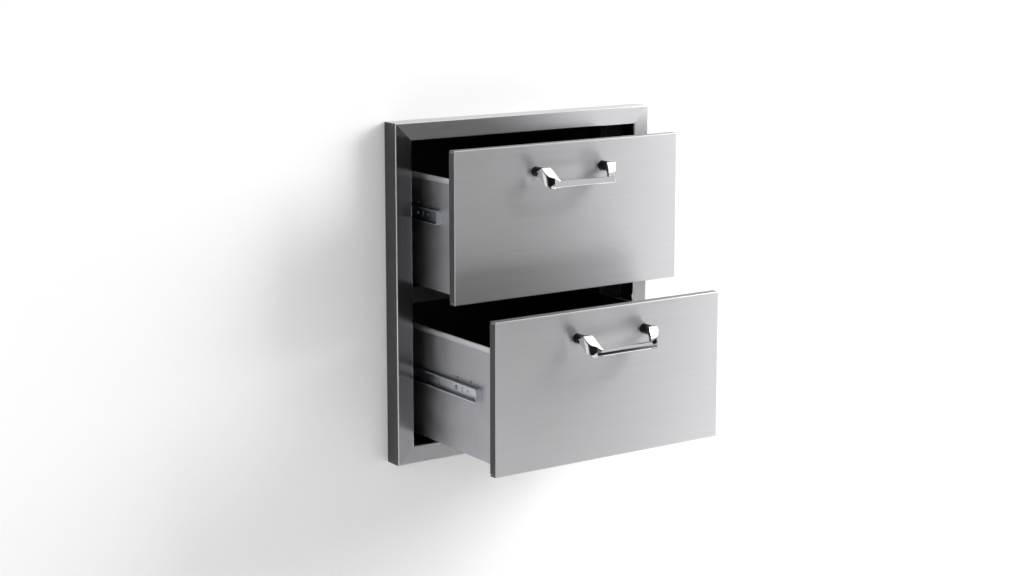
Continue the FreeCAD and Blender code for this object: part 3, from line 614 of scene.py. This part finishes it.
@dataclass
class Handle:
    """Cast, polished and plated handle: a bar, two faceted arms that lean down to it and two posts.

    Its sizes are in millimetres. Levels are depths below the front's top edge.
    """

    finishes: Finishes
    level: Level
    post_spacing: float = 119.0
    post_radius: float = 7.4
    post_level: float = 38.9
    post_length: float = 15.0
    post_chamfer: float = 0.8
    # A post widens a little where it meets the front, a hair off its face
    post_flare: float = 0.3
    post_flare_length: float = 0.5
    post_gap: float = 0.05
    post_sides: int = 40
    reach: float = 40.5
    # How many pieces the stretch between two stations of an arm is cut into
    arm_steps: int = 6
    # Number of the station where an arm turns down
    knee: int = 2
    bar_length: float = 106.0
    bar_top: float = 50.2
    bar_height: float = 9.5
    bar_depth: float = 8.5
    bar_radius: float = 1.6
    bar_tilt: float = 2.2
    bar_crown: float = 1.8
    bar_face_steps: int = 8
    bar_corner_steps: int = 4
    edge: float = 0.4
    edge_steps: int = 2
    # Sharper edges than this, in degrees, are softened
    edge_angle: float = 22.0

    def stations(self) -> tuple[tuple, ...]:
        """Give the sections of an arm.

        Returns:
            The distance of each section from the front's face, then its corners as distance from the
            middle and level: inner top, outer top, ridge, outer foot, inner foot.
        """
        return (
            (13.0, ((52.0, 32.4), (66.6, 32.4), (67.2, 37.0), (66.0, 43.5), (53.0, 45.0))),
            (19.0, ((51.4, 31.8), (66.6, 31.8), (66.9, 34.5), (63.6, 48.5), (51.4, 42.6))),
            (23.0, ((50.5, 31.5), (66.0, 31.5), (66.4, 32.6), (60.8, 55.5), (49.6, 43.5))),
            (28.0, ((48.7, 36.0), (62.8, 38.4), (60.8, 44.2), (58.6, 58.8), (47.2, 47.5))),
            (32.0, ((46.9, 40.6), (59.4, 42.9), (60.2, 56.0), (57.2, 60.8), (44.8, 51.5))),
            (35.3, ((44.9, 45.4), (56.0, 44.2), (56.7, 57.0), (55.0, 60.6), (43.9, 55.5))),
            (self.reach, ((43.0, 50.2), (52.8, 45.2), (53.2, 52.5), (52.8, 59.4), (43.0, 59.7))),
        )

    def bar_face(self, down: float) -> float:
        """Give how far the leaning, crowned face of the bar stands out at a level.

        Args:
            down: the level.

        Returns:
            Its distance from the front's face.
        """
        part = min(max((down - self.bar_top) / self.bar_height, 0.0), 1.0)
        return self.reach - self.bar_tilt * (1 - part) + self.bar_crown * part * (1 - part)

    def place(self, across: float, out: float, down: float) -> Vector:
        """Turn handle sizes into a point on the drawer at rest.

        Args:
            across: distance to the right of the drawer's middle.
            out: distance in front of the front's face.
            down: the level.

        Returns:
            The point, in metres.
        """
        low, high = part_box(f"{self.level}_front_skin")
        return Vector((across * MM, low[1] - out * MM, high[2] - down * MM))

    def arm(self, mesh: bmesh.types.BMesh, side: Side) -> None:
        """Add one arm.

        Args:
            mesh: what it goes into.
            side: where it stands.
        """
        outs, sections = zip(*self.stations())
        lines = []
        for corner, path in enumerate(zip(*sections)):
            points = [
                self.place(side * across, self.bar_face(down) if out == self.reach else out, down)
                for out, (across, down) in zip(outs, path)
            ]
            # The inner top edge is straight from station to station
            run = smooth_between if corner else straight_between
            lines.append(run(points, self.arm_steps))
        rings = [[mesh.verts.new(point) for point in ring] for ring in zip(*lines)]
        for step, (near, far) in enumerate(zip(rings, rings[1:])):
            before_knee = step < self.knee * self.arm_steps
            for facet, face in enumerate(join_rings(mesh, near, far)):
                # Painted shade: the shoulder, the inner side and the top before the knee take the near-black
                # chrome
                shaded = facet in (Facet.SHOULDER, Facet.INNER) or (facet == Facet.TOP and before_knee)
                face.material_index = int(shaded)
        mesh.faces.new(rings[0])
        mesh.faces.new(rings[-1])

    def post(self, mesh: bmesh.types.BMesh, side: Side) -> None:
        """Add one round post.

        Args:
            mesh: what it goes into.
            side: where it stands.
        """
        profile = (
            (self.post_radius + self.post_flare, self.post_gap),
            (self.post_radius, self.post_flare_length),
            (self.post_radius, self.post_length - self.post_chamfer),
            (self.post_radius - self.post_chamfer, self.post_length),
        )
        rings = []
        for radius, out in profile:
            ring = []
            for step in range(self.post_sides):
                turn = 2 * math.pi * step / self.post_sides
                across = side * self.post_spacing / 2 + radius * math.cos(turn)
                down = self.post_level + radius * math.sin(turn)
                ring.append(mesh.verts.new(self.place(across, out, down)))
            rings.append(ring)
        for near, far in zip(rings, rings[1:]):
            # Painted shade: the posts are near-black chrome all round
            for face in join_rings(mesh, near, far):
                face.material_index = 1
        mesh.faces.new(rings[0])
        mesh.faces.new(rings[-1])

    def bar(self, mesh: bmesh.types.BMesh) -> None:
        """Add the bar, with a crowned face that leans back and rounded edges."""
        top = self.bar_top
        base = top + self.bar_height
        back = self.reach - self.bar_depth
        radius = self.bar_radius
        drop, steps = self.bar_height - radius, self.bar_face_steps
        levels = [top + drop * step / steps for step in range(steps, -1, -1)]
        section = [(self.bar_face(level), level) for level in levels]
        corners = (
            (back + radius, top + radius, 90),
            (back + radius, base - radius, 180),
            (self.reach - radius, base - radius, 270),
        )
        for out, down, start in corners:
            for step in range(self.bar_corner_steps + 1):
                turn = math.radians(start + 90 / self.bar_corner_steps * step)
                section.append((out + radius * math.cos(turn), down - radius * math.sin(turn)))
        left, right = (
            [mesh.verts.new(self.place(across, out, down)) for out, down in section]
            for across in (-self.bar_length / 2, self.bar_length / 2)
        )
        join_rings(mesh, left, right)
        mesh.faces.new(left)
        mesh.faces.new(right)

    def build(self) -> None:
        """Add the handle in place of its plain CAD solid."""
        mesh = bmesh.new()
        self.bar(mesh)
        for side in Side:
            self.arm(mesh, side)
            self.post(mesh, side)
        piece = place_mesh(
            mesh, f"{self.level}_cast_handle", (self.finishes.chrome, self.finishes.chrome_painted_shade)
        )
        piece.data.shade_smooth()
        bevel = piece.modifiers.new("soft_edges", "BEVEL")
        bevel.width = self.edge * MM
        bevel.segments = self.edge_steps
        bevel.limit_method = "ANGLE"
        bevel.angle_limit = math.radians(self.edge_angle)
        bevel.harden_normals = True
        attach(piece, f"{self.level}_drawer")
        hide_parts(f"{self.level}_handle")


@dataclass
class RolledHem:
    """Hem along the top of a box side, rolled into a flat tube, so that it catches the light."""

    finishes: Finishes
    level: Level
    side: Side
    height: float = 8.7 * MM
    bulge: float = 1.9 * MM
    # How far it stands out from the flat hem, and how far it rises above it
    proud: float = 0.9 * MM
    rise: float = 0.6 * MM
    # How far its back lies in from its outermost line, and how far it ends short of the side
    inset: float = 2.3 * MM
    end_gap: float = 1 * MM
    steps: int = 12

    def build(self) -> None:
        """Add the rolled hem over the flat one of the CAD side."""
        side = self.side.name.lower()
        low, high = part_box(f"{self.level}_box_{side}_side")
        outer = low[0] if self.side is Side.LEFT else high[0]
        across = outer - self.side * (self.bulge - self.proud)
        level = high[2] - self.height / 2 + self.rise
        mesh = bmesh.new()
        ends = []
        for along in (low[1] + self.end_gap, high[1] - self.end_gap):
            ring = []
            for step in range(self.steps + 1):
                turn = math.pi * (step / self.steps - 0.5)
                bulge = self.side * self.bulge * math.cos(turn)
                ring.append((across + bulge, along, level + self.height / 2 * math.sin(turn)))
            back = across - self.side * (self.inset - self.bulge)
            ring += [(back, along, level + self.height / 2), (back, along, level - self.height / 2)]
            ends.append([mesh.verts.new(corner) for corner in ring])
        join_rings(mesh, *ends)
        for end in ends:
            mesh.faces.new(end)
        piece = place_mesh(mesh, f"{self.level}_{side}_rolled_hem", (self.finishes.rolled_hem,))
        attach(piece, f"{self.level}_drawer")


@dataclass
class Drawer:
    """One drawer: front, box, moving slide members, retainers and handle."""

    finishes: Finishes
    nodes: dict[str, bpy.types.Object]
    level: Level

    def build(self) -> None:
        """Dress the drawer, and add its handle and its rolled hems."""
        finish_of = {
            "front_skin": self.finishes.front_sheet,
            "front_liner": self.finishes.mill_sheet,
            "box_left_side": self.finishes.box_sheet,
            "box_right_side": self.finishes.box_sheet,
            "box_bottom": self.finishes.inner_sheet_painted_shade,
            "box_back": self.finishes.inner_sheet_painted_shade,
            "left_drawer_member": self.finishes.zinc,
            "right_drawer_member": self.finishes.zinc,
            "left_retainer": self.finishes.zinc,
            "right_retainer": self.finishes.zinc,
            "left_balls": self.finishes.ball,
            "right_balls": self.finishes.ball,
            "handle_screws": self.finishes.fastener,
            "box_screws": self.finishes.fastener,
            "box_rivets": self.finishes.fastener,
            "slide_screws": self.finishes.fastener,
        }
        for piece, finish in finish_of.items():
            dress(self.nodes[f"{self.level}_{piece}"], finish)
        Handle(self.finishes, self.level).build()
        for side in Side:
            RolledHem(self.finishes, self.level, side).build()


def stage_sheet(
    name: str, corners: list[tuple], faces: list[tuple], material: bpy.types.Material
) -> bpy.types.Object:
    """Add a flat piece of the studio.

    Args:
        name: what it is called.
        corners: its points.
        faces: the points of each face.
        material: its surface.

    Returns:
        The piece.
    """
    mesh = bpy.data.meshes.new(name)
    mesh.from_pydata(corners, [], faces)
    mesh.materials.append(material)
    piece = bpy.data.objects.new(name, mesh)
    bpy.context.scene.collection.objects.link(piece)
    return piece


@dataclass(frozen=True)
class Softbox:
    """Softbox with its place, the point that it faces, its width and height, and its power in watts."""

    name: str
    place: tuple[float, float, float]
    aim: tuple[float, float, float]
    size: tuple[float, float]
    power: float
    # Whether the metal shows it
    mirrored: bool = True

    def build(self) -> None:
        """Add the lamp."""
        light = bpy.data.lights.new(self.name, "AREA")
        light.shape = "RECTANGLE"
        light.size, light.size_y = self.size
        light.energy = self.power
        lamp = bpy.data.objects.new(self.name, light)
        lamp.location = self.place
        lamp.rotation_euler = (Vector(self.aim) - Vector(self.place)).to_track_quat("-Z", "Y").to_euler()
        bpy.context.scene.collection.objects.link(lamp)
        lamp.visible_glossy = self.mirrored


@dataclass(frozen=True)
class GradedCard:
    """Card in front of the unit that glows more to its right, and that only the metal sees.

    A photographer stands such cards to shape what bright steel shows.
    """

    name: str
    bottom: float
    top: float
    # Where along X its glow begins to rise, and where it is full
    rise_from: float
    rise_to: float
    # How strong it glows at its right end, and at its left
    most: float
    least: float = 0.01
    # Its two ends along X, and its place along Y
    left: float = 0.5
    right: float = 2.0
    inward: float = -1.45

    def build(self) -> None:
        """Add the card."""
        material, tree = new_material(self.name)
        place = add_node(tree, "ShaderNodeNewGeometry").outputs["Position"]
        across = add_node(tree, "ShaderNodeSeparateXYZ", {0: place}).outputs["X"]
        reach = {"From Min": self.rise_from, "From Max": self.rise_to}
        levels = {"To Min": self.least, "To Max": self.most}
        level = add_node(
            tree, "ShaderNodeMapRange", {"Value": across, **reach, **levels}, interpolation_type="SMOOTHSTEP"
        )
        glow = add_node(
            tree, "ShaderNodeEmission", {"Color": srgb(WHITE), "Strength": level.outputs[0]}
        )
        add_node(tree, "ShaderNodeOutputMaterial", {"Surface": glow.outputs[0]})
        corners = [
            (self.left, self.inward, self.bottom),
            (self.right, self.inward, self.bottom),
            (self.right, self.inward, self.top),
            (self.left, self.inward, self.top),
        ]
        card = stage_sheet(self.name, corners, [(0, 1, 2, 3)], material)
        card.visible_camera = False
        card.visible_diffuse = False
        card.visible_shadow = False


@dataclass
class Studio:
    """Wall, floor, lamps, cards and camera."""

    floor_level: float = -560 * MM
    # How far the wall and the floor run from the middle of the cut-out
    reach: float = 7.0
    wall_height: float = 4.0
    wall_colour: str = "#f4f4f4"
    floor_colour: str = "#dedede"
    cutout_half_width: float = 208 * MM
    cutout_half_height: float = 233 * MM
    # The part of a direction along X where the surroundings begin to brighten, and where they are full
    brighten_from: float = -0.2
    brighten_to: float = 0.7
    dimmest: float = 0.3
    brightest: float = 0.72
    softboxes: tuple[Softbox, ...] = (
        Softbox("right_softbox", (2.6, -1.2, 1.3), (0.0, 0.0, 0.0), (1.6, 1.6), 122.0),
        # The fill is for the wall alone, because the steel would show it as a second softbox
        Softbox("left_fill", (-2.3, -1.5, 0.6), (-0.3, 0.0, -0.1), (2.0, 2.0), 15.5, mirrored=False),
        Softbox("left_strip", (-2.2, -0.38, 0.0), (0.0, 0.0, 0.0), (0.5, 1.4), 5.0),
        Softbox("top_panel", (1.35, -0.85, 1.95), (0.0, -0.15, 0.1), (1.8, 1.2), 7.0),
    )
    cards: tuple[GradedCard, ...] = (
        GradedCard("fronts_card", bottom=floor_level, top=0.04, rise_from=0.68, rise_to=1.2, most=0.45),
        GradedCard("top_rail_card", bottom=0.04, top=0.22, rise_from=0.85, rise_to=1.2, most=2.0),
    )
    camera_place: tuple[float, float, float] = (-1.6929, -2.5035, 0.5811)
    # How far the camera is turned to the right and down, in radians
    camera_yaw: float = 0.5929
    camera_pitch: float = 0.1653
    # In millimetres, and the shift as a part of the sensor's width
    lens: float = 70.73
    sensor_width: float = 36.0
    lens_shift: float = -0.0586

    def wall(self) -> None:
        """Add the wall round the cut-out, seen only from its front."""
        material, tree = new_material("white_wall")
        side = add_node(tree, "ShaderNodeNewGeometry").outputs["Backfacing"]
        paint = add_node(tree, "ShaderNodeBsdfDiffuse", {"Color": srgb(self.wall_colour)})
        clear = add_node(tree, "ShaderNodeBsdfTransparent")
        shader = add_node(tree, "ShaderNodeMixShader", {0: side, 1: paint.outputs[0], 2: clear.outputs[0]})
        add_node(tree, "ShaderNodeOutputMaterial", {"Surface": shader.outputs[0]})
        near, far = self.cutout_half_width, self.reach
        low, high = -self.cutout_half_height, self.cutout_half_height
        columns = (-far, -near, near, far)
        rows = (self.floor_level, low, high, self.wall_height)
        corners = [(across, 0.0, up) for up in rows for across in columns]
        # A field of three by three panels, whose middle one is the cut-out
        wide = len(columns)
        starts = [wide * row + column for row in range(3) for column in range(3) if (row, column) != (1, 1)]
        faces = [(start, start + 1, start + wide + 1, start + wide) for start in starts]
        stage_sheet("wall", corners, faces, material)

    def floor(self) -> None:
        """Add the floor."""
        material, tree = new_material("pale_floor")
        paint = add_node(tree, "ShaderNodeBsdfDiffuse", {"Color": srgb(self.floor_colour)})
        add_node(tree, "ShaderNodeOutputMaterial", {"Surface": paint.outputs[0]})
        far, level = self.reach, self.floor_level
        corners = [(-far, -far, level), (far, -far, level), (far, far, level), (-far, far, level)]
        stage_sheet("floor", corners, [(0, 1, 2, 3)], material)

    def world(self) -> None:
        """Light the studio from all round, more from the right than from the left."""
        world = bpy.data.worlds.new("studio_world")
        world.use_nodes = True
        tree = world.node_tree
        tree.nodes.clear()
        place = add_node(tree, "ShaderNodeTexCoord").outputs["Generated"]
        across = add_node(tree, "ShaderNodeSeparateXYZ", {0: place}).outputs["X"]
        reach = {"From Min": self.brighten_from, "From Max": self.brighten_to}
        levels = {"To Min": self.dimmest, "To Max": self.brightest}
        level = add_node(tree, "ShaderNodeMapRange", {"Value": across, **reach, **levels})
        light = add_node(
            tree, "ShaderNodeBackground", {"Color": srgb(WHITE), "Strength": level.outputs[0]}
        )
        add_node(tree, "ShaderNodeOutputWorld", {"Surface": light.outputs[0]})
        bpy.context.scene.world = world

    def camera(self) -> None:
        """Set the camera to the photograph's view."""
        data = bpy.data.cameras.new("camera")
        data.lens = self.lens
        data.sensor_width = self.sensor_width
        data.shift_y = self.lens_shift
        camera = bpy.data.objects.new("camera", data)
        camera.location = self.camera_place
        camera.rotation_euler = (math.pi / 2 - self.camera_pitch, 0.0, -self.camera_yaw)
        bpy.context.scene.collection.objects.link(camera)
        bpy.context.scene.camera = camera

    def build(self) -> None:
        """Build the studio."""
        self.wall()
        self.floor()
        self.world()
        for part in (*self.softboxes, *self.cards):
            part.build()
        self.camera()
        bpy.context.scene.view_settings.view_transform = "Standard"


def main() -> None:
    """Dress the unit and set up the studio."""
    logging.basicConfig(level=logging.INFO, format="%(message)s")
    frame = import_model()
    finishes = Finishes()
    nodes = frame["nodes"]
    parts = {
        "face frame": FaceFrame(finishes, nodes),
        "chassis": Chassis(finishes, nodes),
        "upper drawer": Drawer(finishes, nodes, Level.UPPER),
        "lower drawer": Drawer(finishes, nodes, Level.LOWER),
        "studio": Studio(),
    }
    for name, part in parts.items():
        part.build()
        LOG.info("%s is ready", name)


if __name__ == "__main__":
    main()
